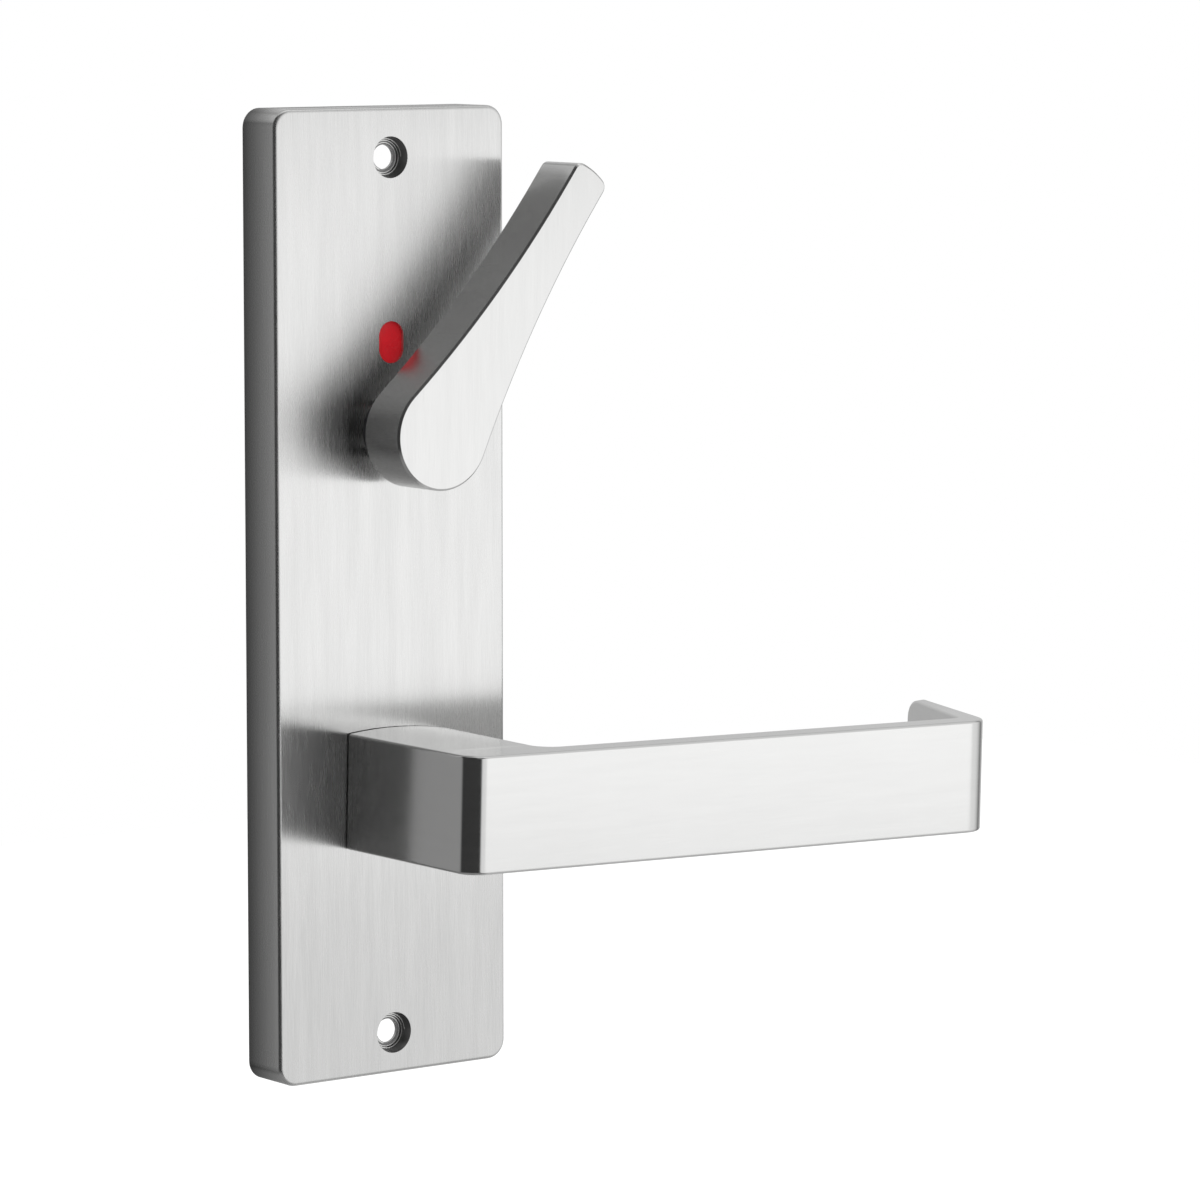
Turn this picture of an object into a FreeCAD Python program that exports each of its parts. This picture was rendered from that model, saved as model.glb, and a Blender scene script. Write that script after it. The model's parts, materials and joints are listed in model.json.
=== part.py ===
import FreeCAD, Part
import math
import os
import Sketcher

# Lever handle on a tall hollow backplate, with a privacy snib and an indicator window.
# X runs across the plate, Y goes into the door and Z is up.
# The origin is on the lever axis at the door face, so the plate's front is at negative Y.
# Heights called stand are measured from the door face towards the person who uses the handle.

SIZES = {
    # cover plate
    "plate_width": 64.0,
    "plate_height": 225.0,
    "plate_depth": 13.0,
    "plate_corner": 4.5,
    "plate_edge": 0.9,
    "face_wall": 2.1,
    "side_wall": 2.5,
    "lever_above_foot": 67.2,
    "hub_spacing": 83.5,
    "rib_wall": 1.5,
    "rib_height": 3.0,
    # fixing holes
    "fixing_spacing": 204.0,
    "fixing_drop": 1.0,
    "fixing_bore": 5.6,
    "fixing_seat": 7.6,
    "fixing_mouth": 9.6,
    "fixing_waist": 8.9,
    "fixing_seat_depth": 3.1,
    "fixing_floor": 0.7,
    "fixing_boss": 16.0,
    # indicator window
    "window_width": 6.8,
    "window_length": 9.7,
    "window_above_snib": 20.3,
    "window_wall": 0.8,
    # clearances
    "running_gap": 0.05,
    "face_gap": 0.2,
    "slide_gap": 0.3,
    # lever handle
    "lever_droop": 1.5,
    "lever_height": 27.0,
    "lever_stand": 49.2,
    "lever_reach": 155.9,
    "neck_gap": 0.6,
    "neck_left": 13.1,
    "neck_base": 14.3,
    "neck_top": 12.3,
    "neck_corner": 5.0,
    "neck_fillet": 4.5,
    "neck_crown": 0.9,
    "neck_crown_end": 0.1,
    "blade_thickness": 7.5,
    "return_splay": 19.0,
    "return_gap": 3.2,
    "return_root": 5.9,
    "return_tip": 4.4,
    "return_bend": 9.0,
    "return_inner_bend": 2.0,
    "return_corner": 5.0,
    "lever_edge": 0.7,
    "shank_bore": 18.0,
    "shank_flats": 15.0,
    "shank_end": 0.8,
    "spindle_side": 8.0,
    "spindle_socket": 22.0,
    "spindle_reach": 36.0,
    "bar_chamfer": 0.5,
    "grub_thread": 5.0,
    "grub_length": 8.0,
    "grub_stand": 23.0,
    "grub_point": 0.6,
    # lever bearing and return spring
    "bush_wall": 2.0,
    "flange_width": 3.0,
    "flange_thickness": 0.8,
    "lever_boss_height": 3.0,
    "boss_wall": 3.0,
    "tray_width": 53.0,
    "tray_foot": 24.0,
    "tray_head": 33.0,
    "tray_floor": 0.8,
    "tray_depth": 5.5,
    "tray_corner": 4.0,
    "tray_cover": 1.2,
    "rotor_diameter": 30.0,
    "rotor_thickness": 3.4,
    "rotor_arm_width": 6.0,
    "rotor_arm_reach": 23.2,
    "lever_turn": 45.0,
    "spring_margin": 0.95,
    "spring_diameter": 4.5,
    "spring_wire": 0.7,
    "spring_turns": 8.0,
    "spring_top": 28.0,
    "washer_width": 3.0,
    "washer_thickness": 0.8,
    "clip_width": 2.0,
    "clip_thickness": 1.0,
    "clip_seat": 0.7,
    "clip_lug": 3.2,
    "clip_eye": 1.1,
    "clip_opening": 3.6,
    # small screws
    "screw_thread": 3.0,
    "screw_length": 9.0,
    "screw_head": 5.4,
    "screw_head_height": 1.1,
    "screw_socket": 2.0,
    "screw_socket_depth": 0.8,
    "screw_head_bevel": 0.35,
    "post_diameter": 7.0,
    "screw_inset": 6.3,
    # privacy snib
    "snib_throw": 72.0,
    "snib_bulb": 25.2,
    "snib_reach": 73.3,
    "snib_tip_width": 10.3,
    "snib_tip_length": 5.3,
    "snib_tip_crown": 0.8,
    "snib_tip_corner": 2.2,
    "snib_thickness": 13.3,
    "snib_standoff": 7.5,
    "snib_edge": 0.5,
    "snib_back_round": 0.2,
    "stem_diameter": 13.0,
    "stem_flats": 10.5,
    "stem_end": 5.4,
    "tail_side": 5.0,
    "tail_socket": 12.0,
    "tail_reach": 30.0,
    "snib_bush_wall": 1.5,
    "snib_flange": 0.6,
    "snib_grub_thread": 4.0,
    "snib_grub_length": 4.0,
    # indicator
    "disc_thickness": 1.2,
    "disc_hub": 24.0,
    "flag_outer": 26.0,
    "flag_inner": 14.6,
    "flag_thickness": 0.3,
    "flag_seam": 0.5,
    "stop_width": 4.0,
    "stop_height": 3.0,
    "guard_width": 56.0,
    "guard_head": 29.0,
    "guard_foot": 19.0,
    "guard_thickness": 1.0,
    "guard_stand": 2.6,
    "guard_corner": 4.0,
    "guard_inset": 4.0,
    "guard_screw_length": 5.0,
    "spring_washer_height": 0.8,
}
RIBS = 2
WIRE_SIDES = 8
QUARTER_TURN = 90.0


class Size:
    """A size with its present value and the sheet formula that gives it."""

    def __init__(self, value, formula):
        self.value = float(value)
        self.formula = formula

    def __add__(self, other):
        other = as_size(other)
        return Size(self.value + other.value, f"({self.formula} + {other.formula})")

    def __sub__(self, other):
        other = as_size(other)
        return Size(self.value - other.value, f"({self.formula} - {other.formula})")

    def __mul__(self, other):
        other = as_size(other)
        return Size(self.value * other.value, f"({self.formula} * {other.formula})")

    def __truediv__(self, other):
        other = as_size(other)
        return Size(self.value / other.value, f"({self.formula} / {other.formula})")

    def __neg__(self):
        return Size(-self.value, f"(0 - {self.formula})")


def as_size(number):
    if isinstance(number, Size):
        return number
    return Size(number, repr(float(number)))


def sine(angle):
    return Size(math.sin(math.radians(angle.value)), f"sin({angle.formula})")


def cosine(angle):
    return Size(math.cos(math.radians(angle.value)), f"cos({angle.formula})")


def root(size):
    return Size(math.sqrt(size.value), f"sqrt({size.formula})")


doc = FreeCAD.newDocument("lever_on_backplate")
sheet = doc.addObject("Spreadsheet::Sheet", "sizes")


def fill_sheet():
    for row, (alias, value) in enumerate(SIZES.items(), start=1):
        sheet.set(f"A{row}", alias)
        sheet.set(f"B{row}", str(value))
        sheet.setAlias(f"B{row}", alias)
    doc.recompute()


def size(alias):
    return Size(SIZES[alias], f"sizes.{alias}")


fill_sheet()
PARTS = []


# Bodies and sketches
def new_body(label):
    body = doc.addObject("PartDesign::Body", label)
    body.Label = label
    PARTS.append(body)
    return body


def bind(item, name, amount):
    item.setExpression(name, as_size(amount).formula)


def place(body, up=None, turn=None):
    """Puts a body on its axis: up along Z, and turned about Y."""
    angle = turn.value if turn else 0.0
    height = up.value if up else 0.0
    spin = FreeCAD.Rotation(FreeCAD.Vector(0, 1, 0), angle)
    body.Placement = FreeCAD.Placement(FreeCAD.Vector(0, 0, height), spin)
    if up:
        bind(body, "Placement.Base.z", up)
    if turn:
        bind(body, "Placement.Rotation.Angle", turn)


def origin_plane(body, role):
    for feature in body.Origin.OriginFeatures:
        if feature.Role == role:
            return feature
    raise ValueError(role)


def sketch_on(body, role, offset):
    sketch = body.newObject("Sketcher::SketchObject", f"{body.Name}_sketch")
    sketch.AttachmentSupport = [(origin_plane(body, role), "")]
    sketch.MapMode = "FlatFace"
    bind(sketch, ".AttachmentOffset.Base.z", offset)
    return sketch


def front_sketch(body, stand):
    """A sketch seen from the front, at a height above the door face."""
    return sketch_on(body, "XZ_Plane", stand)


def plan_sketch(body, height):
    """A sketch seen from above, at a height along Z."""
    return sketch_on(body, "XY_Plane", height)


def side_sketch(body, across):
    """A sketch seen from the right, at a distance along X."""
    return sketch_on(body, "YZ_Plane", across)


def name_last(sketch, amount):
    index = sketch.ConstraintCount - 1
    label = f"size_{index}"
    sketch.renameConstraint(index, label)
    bind(sketch, f"Constraints.{label}", amount)


def fix_coordinate(sketch, kind, axis, geometry, point, amount):
    amount = as_size(amount)
    if abs(amount.value) < 1e-9:
        sketch.addConstraint(Sketcher.Constraint("PointOnObject", geometry, point, axis))
        return
    sketch.addConstraint(Sketcher.Constraint(kind, -1, 1, geometry, point, amount.value))
    name_last(sketch, amount)


def fix_point(sketch, geometry, point, x, y):
    fix_coordinate(sketch, "DistanceX", -2, geometry, point, x)
    fix_coordinate(sketch, "DistanceY", -1, geometry, point, y)


def flat(x, y):
    return FreeCAD.Vector(as_size(x).value, as_size(y).value, 0)


def circle(sketch, x, y, diameter):
    diameter = as_size(diameter)
    shape = Part.Circle(flat(x, y), FreeCAD.Vector(0, 0, 1), diameter.value / 2)
    geometry = sketch.addGeometry(shape)
    fix_point(sketch, geometry, 3, x, y)
    sketch.addConstraint(Sketcher.Constraint("Diameter", geometry, diameter.value))
    name_last(sketch, diameter)


def arc_between(start, end, radius):
    """The shorter arc from start to end. A positive radius has its centre on the left."""
    chord = end - start
    half = chord.Length / 2
    rise = math.sqrt(max(radius * radius - half * half, 0))
    left = FreeCAD.Vector(-chord.y, chord.x, 0).normalize()
    side = math.copysign(1, radius)
    centre = (start + end) * 0.5 + left * rise * side
    middle = centre + ((start + end) * 0.5 - centre).normalize() * abs(radius)
    if rise < 1e-7:
        middle = centre - left * side * abs(radius)
    return Part.Arc(start, middle, end)


def outline(sketch, points):
    """A closed outline. A point is x, y, and the radius of the arc that leads to the next."""
    count = len(points)
    flats = [flat(entry[0], entry[1]) for entry in points]
    made = []
    for index, entry in enumerate(points):
        start = flats[index]
        end = flats[(index + 1) % count]
        if len(entry) == 3:
            made.append(sketch.addGeometry(arc_between(start, end, as_size(entry[2]).value)))
        else:
            made.append(sketch.addGeometry(Part.LineSegment(start, end)))
    ends = []
    for index, geometry in enumerate(made):
        backwards = False
        if len(points[index]) == 3:
            backwards = (sketch.getPoint(geometry, 1) - flats[index]).Length > 1e-5
        ends.append((2, 1) if backwards else (1, 2))
    for index, geometry in enumerate(made):
        following = (index + 1) % count
        sketch.addConstraint(Sketcher.Constraint(
            "Coincident", geometry, ends[index][1], made[following], ends[following][0]))
    for index, geometry in enumerate(made):
        fix_point(sketch, geometry, ends[index][0], points[index][0], points[index][1])
        if len(points[index]) == 3:
            bend = as_size(points[index][2])
            if bend.value < 0:
                bend = -bend
            sketch.addConstraint(Sketcher.Constraint("Radius", geometry, bend.value))
            name_last(sketch, bend)


def rectangle(sketch, left, bottom, right, top):
    outline(sketch, [(left, bottom), (right, bottom), (right, top), (left, top)])


def feature(body, kind, sketch, length):
    item = body.newObject(f"PartDesign::{kind}", f"{body.Name}_{kind.lower()}")
    item.Profile = sketch
    bind(item, "Length", length)
    body.Tip = item
    return item


def pad(body, sketch, length):
    """Grows away from the door for a front sketch."""
    return feature(body, "Pad", sketch, length)


def pad_both(body, sketch, length):
    item = feature(body, "Pad", sketch, length)
    item.Midplane = True
    return item


def volume_of(body):
    doc.recompute()
    return body.Shape.Volume


def pocket(body, sketch, length, towards_front=False):
    before = volume_of(body)
    item = feature(body, "Pocket", sketch, length)
    item.Reversed = towards_front
    if volume_of(body) >= before:
        raise ValueError(f"{body.Name}: a pocket removed nothing")
    return item


def edge_names(body, wanted):
    doc.recompute()
    return [f"Edge{i}" for i, edge in enumerate(body.Shape.Edges, start=1) if wanted(edge)]


def dress(body, kind, names, amount):
    base = body.Tip
    item = body.newObject(f"PartDesign::{kind}", f"{body.Name}_{kind.lower()}")
    item.Base = (base, names)
    bind(item, "Radius" if kind == "Fillet" else "Size", amount)
    body.Tip = item
    doc.recompute()
    return item


def fillet(body, wanted, amount):
    return dress(body, "Fillet", edge_names(body, wanted), amount)


def chamfer(body, wanted, amount):
    return dress(body, "Chamfer", edge_names(body, wanted), amount)


def ends_of(edge):
    return [vertex.Point for vertex in edge.Vertexes]


def runs_along(edge, axis):
    """True for a straight edge along X, Y or Z."""
    if not isinstance(edge.Curve, (Part.Line, Part.LineSegment)) or len(edge.Vertexes) < 2:
        return False
    first, last = ends_of(edge)
    direction = (last - first).normalize()
    return abs(abs(getattr(direction, axis)) - 1) < 1e-6


def lies_at(edge, axis, amount):
    box = edge.BoundBox
    low = getattr(box, f"{axis.upper()}Min")
    high = getattr(box, f"{axis.upper()}Max")
    return abs(low - amount) < 1e-4 and abs(high - amount) < 1e-4


def near_upright(edge, x, y):
    """True for an edge along Z that passes within a hair of x, y."""
    if not runs_along(edge, "z"):
        return False
    point = ends_of(edge)[0]
    return math.hypot(point.x - x, point.y - y) < 1e-3


def ring(body, outer, inner, stand, length):
    """A turned ring about the body's own axis, from a height towards the front."""
    sketch = front_sketch(body, stand)
    circle(sketch, 0, 0, outer)
    circle(sketch, 0, 0, inner)
    return pad(body, sketch, length)


def flatted_circle(sketch, diameter, across):
    """A round with two upright flats."""
    half = across / 2
    radius = diameter / 2
    rise = root(radius * radius - half * half)
    outline(sketch, [
        (half, -rise), (half, rise, radius), (-half, rise), (-half, -rise, radius)])


# Shared heights and places
plate_front = size("plate_depth")
wall_back = plate_front - size("face_wall")
boss_root = wall_back + size("face_wall") / 2
plate_half = size("plate_width") / 2
foot = -size("lever_above_foot")
head = size("plate_height") - size("lever_above_foot")
plate_middle = size("plate_height") / 2 - size("lever_above_foot")
fixing_middle = plate_middle - size("fixing_drop")
fixing_low = fixing_middle - size("fixing_spacing") / 2
fixing_high = fixing_middle + size("fixing_spacing") / 2
snib_axis = size("hub_spacing")
boss_end = wall_back - size("lever_boss_height")
bush_outer = size("shank_bore") + (size("running_gap") + size("bush_wall")) * 2
flange_outer = bush_outer + size("flange_width") * 2
lever_boss = bush_outer + size("boss_wall") * 2
rotor_front = boss_end - size("flange_thickness") - size("face_gap")
rotor_back = rotor_front - size("rotor_thickness")
tray_back = boss_end - size("tray_depth")
cover_back = tray_back - size("tray_cover")
cavity_depth = size("tray_depth") - size("tray_floor")
washer_front = rotor_back - size("face_gap") / 2
clip_front = washer_front - size("washer_thickness") - size("face_gap") / 2
clip_back = clip_front - size("clip_thickness")
snib_bush_outer = size("stem_diameter") + (size("running_gap") + size("snib_bush_wall")) * 2
hub_front = wall_back - size("snib_flange") - size("face_gap") / 2
hub_back = hub_front - size("disc_thickness")
flag_front = plate_front - size("window_wall") - size("face_gap")
flag_back = flag_front - size("flag_thickness")
snib_back = plate_front + size("snib_standoff")
guard_front = size("guard_stand") + size("guard_thickness")
snib_clip_front = hub_back - size("running_gap") - size("spring_washer_height") - size("face_gap") / 2
snib_clip_back = snib_clip_front - size("clip_thickness")
snib_grub_stand = plate_front + size("snib_standoff") / 2
snib_lean = size("snib_throw") / 2
flag_span = as_size(QUARTER_TURN) - snib_lean

half_tray = size("tray_width") / 2
tray_left = -(half_tray - size("screw_inset"))
tray_right = half_tray - size("screw_inset")
tray_low = -(size("tray_foot") - size("screw_inset"))
tray_high = size("tray_head") - size("screw_inset")
spring_offset = size("rotor_arm_reach") - size("spring_margin") - size("spring_diameter") / 2
channel_right = -(spring_offset - size("spring_diameter") / 2 - size("slide_gap"))
upper_left = channel_right + size("post_diameter") / 2 + size("washer_width")
TRAY_SCREWS = [
    (tray_left, tray_low), (tray_right, tray_low),
    (tray_right, tray_high), (upper_left, tray_high)]

guard_side = size("guard_width") / 2 - size("guard_inset")
guard_low = snib_axis - size("guard_foot") + size("guard_inset")
guard_high = snib_axis + size("guard_head") - size("guard_inset")
GUARD_SCREWS = [
    (-guard_side, guard_low), (guard_side, guard_low),
    (guard_side, guard_high), (-guard_side, guard_high)]


def make_shell(body):
    """The tray-shaped casting: a face, four walls and rounded corners, open to the door."""
    sketch = front_sketch(body, 0)
    rectangle(sketch, -plate_half, foot, plate_half, head)
    pad(body, sketch, plate_front)
    fillet(body, lambda edge: runs_along(edge, "y"), size("plate_corner"))
    front = -plate_front.value
    fillet(body, lambda edge: lies_at(edge, "y", front), size("plate_edge"))
    hollow = front_sketch(body, 0)
    wall = size("side_wall")
    rectangle(hollow, -(plate_half - wall), foot + wall, plate_half - wall, head - wall)
    pocket(body, hollow, wall_back, towards_front=True)
    inner = plate_half.value - wall.value

    def inner_corner(edge):
        return runs_along(edge, "y") and abs(abs(edge.Vertexes[0].Point.x) - inner) < 1e-4

    fillet(body, inner_corner, size("plate_corner") - wall)


def add_posts(body, places, stand):
    sketch = front_sketch(body, stand)
    for across, up in places:
        circle(sketch, across, up, size("post_diameter"))
    pad(body, sketch, boss_root - stand)


def add_bosses(body):
    """Round bosses for the lever bush and the fixing holes, and posts for the screws."""
    lever = front_sketch(body, boss_end)
    circle(lever, 0, 0, lever_boss)
    pad(body, lever, boss_root - boss_end)
    fixing_back = plate_front - size("fixing_seat_depth") - size("fixing_floor")
    fixing = front_sketch(body, fixing_back)
    circle(fixing, 0, fixing_low, size("fixing_boss"))
    circle(fixing, 0, fixing_high, size("fixing_boss"))
    pad(body, fixing, boss_root - fixing_back)
    add_posts(body, TRAY_SCREWS, boss_end)
    add_posts(body, GUARD_SCREWS, guard_front)


def add_ribs(body):
    """Shallow cross ribs that stiffen the face between the two mechanisms."""
    inner = plate_half - size("side_wall") / 2
    gap_low = size("tray_head")
    gap_high = snib_axis - size("guard_foot")
    half = size("rib_wall") / 2
    rib_end = wall_back - size("rib_height")
    for place_up in range(1, RIBS + 1):
        middle = gap_low + (gap_high - gap_low) * place_up / (RIBS + 1)
        sketch = front_sketch(body, rib_end)
        rectangle(sketch, -inner, middle - half, inner, middle + half)
        pad(body, sketch, boss_root - rib_end)


def add_snib_stops(body):
    """Two blocks that the indicator disc's shoulders meet at the ends of the snib's throw."""
    disc_edge = size("flag_outer")
    top = snib_axis - size("face_gap") / 2
    sketch = front_sketch(body, hub_back)
    for side in (-1, 1):
        near = (disc_edge - size("stop_width")) * side
        far = (disc_edge + size("stop_width") / 2) * side
        left, right = (near, far) if side > 0 else (far, near)
        rectangle(sketch, left, top - size("stop_height"), right, top)
    pad(body, sketch, boss_root - hub_back)


def cut_fixing_hole(body, height):
    """A stepped, tapering screw recess turned about its own axis."""
    sketch = side_sketch(body, 0)
    front = -plate_front
    waist = front + size("face_wall")
    seat = front + size("fixing_seat_depth")
    back = seat + size("fixing_floor") + size("slide_gap")
    lip = front - size("slide_gap")
    outline(sketch, [
        (lip, height),
        (back, height),
        (back, height + size("fixing_bore") / 2),
        (seat, height + size("fixing_bore") / 2),
        (seat, height + size("fixing_seat") / 2),
        (waist, height + size("fixing_waist") / 2),
        (front, height + size("fixing_mouth") / 2),
        (lip, height + size("fixing_mouth") / 2)])
    before = volume_of(body)
    groove = body.newObject("PartDesign::Groove", "fixing_hole")
    groove.Profile = sketch
    groove.ReferenceAxis = (sketch, ["Edge1"])
    groove.Angle = 360
    body.Tip = groove
    if volume_of(body) >= before:
        raise ValueError("a fixing hole removed nothing")


def cut_openings(body):
    """The lever hole, the snib hole, the window and the recess for the indicator disc."""
    bores = front_sketch(body, 0)
    circle(bores, 0, 0, bush_outer)
    circle(bores, 0, snib_axis, snib_bush_outer)
    pocket(body, bores, plate_front + size("slide_gap"), towards_front=True)
    window = front_sketch(body, plate_front)
    half = size("window_width") / 2
    middle = snib_axis + size("window_above_snib")
    straight = (size("window_length") - size("window_width")) / 2
    obround(window, half, middle - straight, middle + straight)
    pocket(body, window, size("face_wall"))
    recess = front_sketch(body, wall_back)
    outer = size("flag_outer") + size("slide_gap") * 3
    inner = size("flag_inner") - size("slide_gap") * 3
    half_ring(recess, outer, inner, snib_axis, size("slide_gap"))
    pocket(body, recess, size("face_wall") - size("window_wall"), towards_front=True)


def obround(sketch, half, low, high):
    """An upright slot with round ends, each drawn as two quarter arcs."""
    outline(sketch, [
        (half, low), (half, high, half), (0, high + half, half), (-half, high),
        (-half, low, half), (0, low - half, half)])


def half_ring(sketch, outer, inner, height, skirt):
    """The upper half of a flat ring with a short straight skirt below its middle."""
    outline(sketch, [
        (outer, height - skirt), (outer, height, outer), (0, height + outer, outer),
        (-outer, height), (-outer, height - skirt), (-inner, height - skirt),
        (-inner, height, -inner), (0, height + inner, -inner),
        (inner, height), (inner, height - skirt)])


def drill_posts(body):
    pilot = size("screw_thread") + size("running_gap") * 2
    for places, stand, depth in (
            (TRAY_SCREWS, boss_end, boss_root - boss_end),
            (GUARD_SCREWS, guard_front, size("guard_screw_length"))):
        sketch = front_sketch(body, stand)
        for across, up in places:
            circle(sketch, across, up, pilot)
        pocket(body, sketch, depth, towards_front=True)


def make_cover_plate():
    body = new_body("cover_plate")
    make_shell(body)
    add_bosses(body)
    add_ribs(body)
    add_snib_stops(body)
    cut_fixing_hole(body, fixing_low)
    cut_fixing_hole(body, fixing_high)
    cut_openings(body)
    drill_posts(body)


def make_bushes():
    lever = new_body("lever_bush")
    bore = size("shank_bore") + size("running_gap") * 2
    ring(lever, bush_outer, bore, boss_end, plate_front - boss_end)
    ring(lever, flange_outer, bore, boss_end - size("flange_thickness"), size("flange_thickness"))
    place(lever)
    snib = new_body("snib_bush")
    bore = size("stem_diameter") + size("running_gap") * 2
    ring(snib, snib_bush_outer, bore, wall_back, size("face_wall"))
    outer = snib_bush_outer + size("snib_bush_wall") * 2
    ring(snib, outer, bore, wall_back - size("snib_flange"), size("snib_flange"))
    place(snib, up=snib_axis)


def make_lever_handle():
    """One casting: square neck, flat blade and splayed return, with a turned shank behind."""
    body = new_body("lever_handle")
    front = -(plate_front + size("lever_stand"))
    base = -(plate_front + size("neck_gap"))
    blade_back = front + size("blade_thickness")
    tip = -(plate_front + size("return_gap"))
    splay = size("return_splay")
    lean = sine(splay) / cosine(splay)
    outer_tip = size("lever_reach")
    outer_root = outer_tip - (tip - front) * lean
    inner_root = outer_root + size("blade_thickness") * lean - size("return_root") / cosine(splay)
    inner_tip = outer_tip - size("return_tip") * cosine(splay)
    inner_tip_y = tip - size("return_tip") * sine(splay)
    left = -size("neck_left")
    plan = plan_sketch(body, 0)
    outline(plan, [
        (left, front), (outer_root, front), (outer_tip, tip), (inner_tip, inner_tip_y),
        (inner_root, blade_back), (size("neck_top"), blade_back), (size("neck_base"), base),
        (left, base)])
    pad_both(body, plan, size("lever_height"))
    bends = [
        (left, front, size("neck_corner")),
        (size("neck_top"), blade_back, size("neck_fillet")),
        (inner_root, blade_back, size("return_inner_bend")),
        (outer_root, front, size("return_bend"))]
    for across, deep, amount in bends:
        fillet(body, lambda edge: near_upright(edge, across.value, deep.value), amount)

    def return_corner(edge):
        """The short edges across the end of the return."""
        points = ends_of(edge)
        if len(points) < 2:
            return False
        level = abs(points[0].z - points[1].z) < 1e-6
        outer = any(abs(point.x - outer_tip.value) < 1e-3 for point in points)
        inner_end = any(abs(point.x - inner_tip.value) < 1e-3 for point in points)
        return level and outer and inner_end

    fillet(body, return_corner, size("return_corner"))
    add_edge_rounds(body, base)
    add_neck_crowns(body)
    add_shank(body)
    place(body, turn=size("lever_droop"))
    return body


def add_edge_rounds(body, base):
    """A hair radius along the upper and lower edges of the blade, neck and return."""
    half = SIZES["lever_height"] / 2

    def rim(edge):
        on_rim = lies_at(edge, "z", half) or lies_at(edge, "z", -half)
        return on_rim and not lies_at(edge, "y", base.value)

    fillet(body, rim, size("lever_edge"))


def add_neck_crowns(body):
    """The neck's upper and lower faces swell at its root and flatten towards the blade."""
    half = size("lever_height") / 2
    sink = size("slide_gap")
    left = size("lever_edge") - size("neck_left")
    fade_stand = plate_front + size("lever_stand") - size("blade_thickness") - size("neck_fillet")
    stations = (
        (plate_front + size("neck_gap"), size("neck_base"), size("neck_crown")),
        (fade_stand, size("neck_top"), size("neck_crown_end")))
    for side in (1, -1):
        sections = []
        for stand, neck_right, rise in stations:
            right = neck_right - size("lever_edge")
            chord = (right - left) / 2
            bend = (chord * chord + rise * rise) / (rise * 2)
            first, last = (left, right) if side > 0 else (right, left)
            sketch = front_sketch(body, stand)
            outline(sketch, [
                (first, (half - sink) * side), (last, (half - sink) * side),
                (last, half * side, bend), (first, half * side)])
            sections.append(sketch)
        crown = body.newObject("PartDesign::AdditiveLoft", "neck_crown")
        crown.Profile = sections[0]
        crown.Sections = sections[1:]
        crown.Ruled = True
        body.Tip = crown
    doc.recompute()


def add_shank(body):
    """The turned shank behind the neck, its flats, clip groove, spindle socket and screw hole."""
    root_stand = plate_front + size("neck_gap")
    shank = front_sketch(body, size("shank_end"))
    circle(shank, 0, 0, size("shank_bore"))
    pad(body, shank, root_stand - size("shank_end") + size("neck_gap"))
    reach = size("shank_bore")
    half = size("shank_flats") / 2
    flats = front_sketch(body, size("shank_end") - size("slide_gap"))
    rectangle(flats, half, -reach, reach, reach)
    rectangle(flats, -reach, -reach, -half, reach)
    pocket(body, flats, rotor_front - size("shank_end") + size("slide_gap"), towards_front=True)
    groove = front_sketch(body, clip_back)
    circle(groove, 0, 0, size("shank_bore") + size("clip_width"))
    circle(groove, 0, 0, size("shank_bore") - size("clip_seat") * 2)
    pocket(body, groove, size("clip_thickness"), towards_front=True)
    socket = front_sketch(body, size("shank_end") - size("slide_gap"))
    side = size("spindle_side") / 2 + size("running_gap")
    rectangle(socket, -side, -side, side, side)
    pocket(body, socket, plate_front + size("spindle_socket"), towards_front=True)
    screw = plan_sketch(body, -size("lever_height") / 2 - size("slide_gap"))
    circle(screw, 0, -size("grub_stand"), size("grub_thread") + size("running_gap") * 2)
    pocket(body, screw, size("lever_height") / 2 - side + size("slide_gap") * 2, towards_front=True)


def make_square_bar(label, side, front_end, reach, up, turn):
    """A square spindle with chamfered ends, from inside a handle to behind the door face."""
    body = new_body(label)
    sketch = front_sketch(body, -reach)
    half = side / 2
    rectangle(sketch, -half, -half, half, half)
    pad(body, sketch, reach + front_end)
    ends = (reach.value, -front_end.value)

    def end_edge(edge):
        return lies_at(edge, "y", ends[0]) or lies_at(edge, "y", ends[1])

    chamfer(body, end_edge, size("bar_chamfer"))
    place(body, up=up, turn=turn)


def make_grub_screw(label, thread, length, low, stand, up, turn):
    """A headless screw pointing up, with a cup point and a hexagon socket below."""
    body = new_body(label)
    sketch = plan_sketch(body, low)
    circle(sketch, 0, -stand, thread)
    pad(body, sketch, length)
    socket = plan_sketch(body, low)
    hexagon(socket, 0, -stand, thread / 2)
    pocket(body, socket, length / 2, towards_front=True)
    tops = low.value + length.value
    chamfer(body, lambda edge: lies_at(edge, "z", tops), size("grub_point"))
    place(body, up=up, turn=turn)


def hexagon(sketch, x, y, across):
    corner = across / root(as_size(3))
    half = across / 2
    outline(sketch, [
        (as_size(x) + corner, as_size(y)), (as_size(x) + corner / 2, as_size(y) + half),
        (as_size(x) - corner / 2, as_size(y) + half), (as_size(x) - corner, as_size(y)),
        (as_size(x) - corner / 2, as_size(y) - half), (as_size(x) + corner / 2, as_size(y) - half)])


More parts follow.
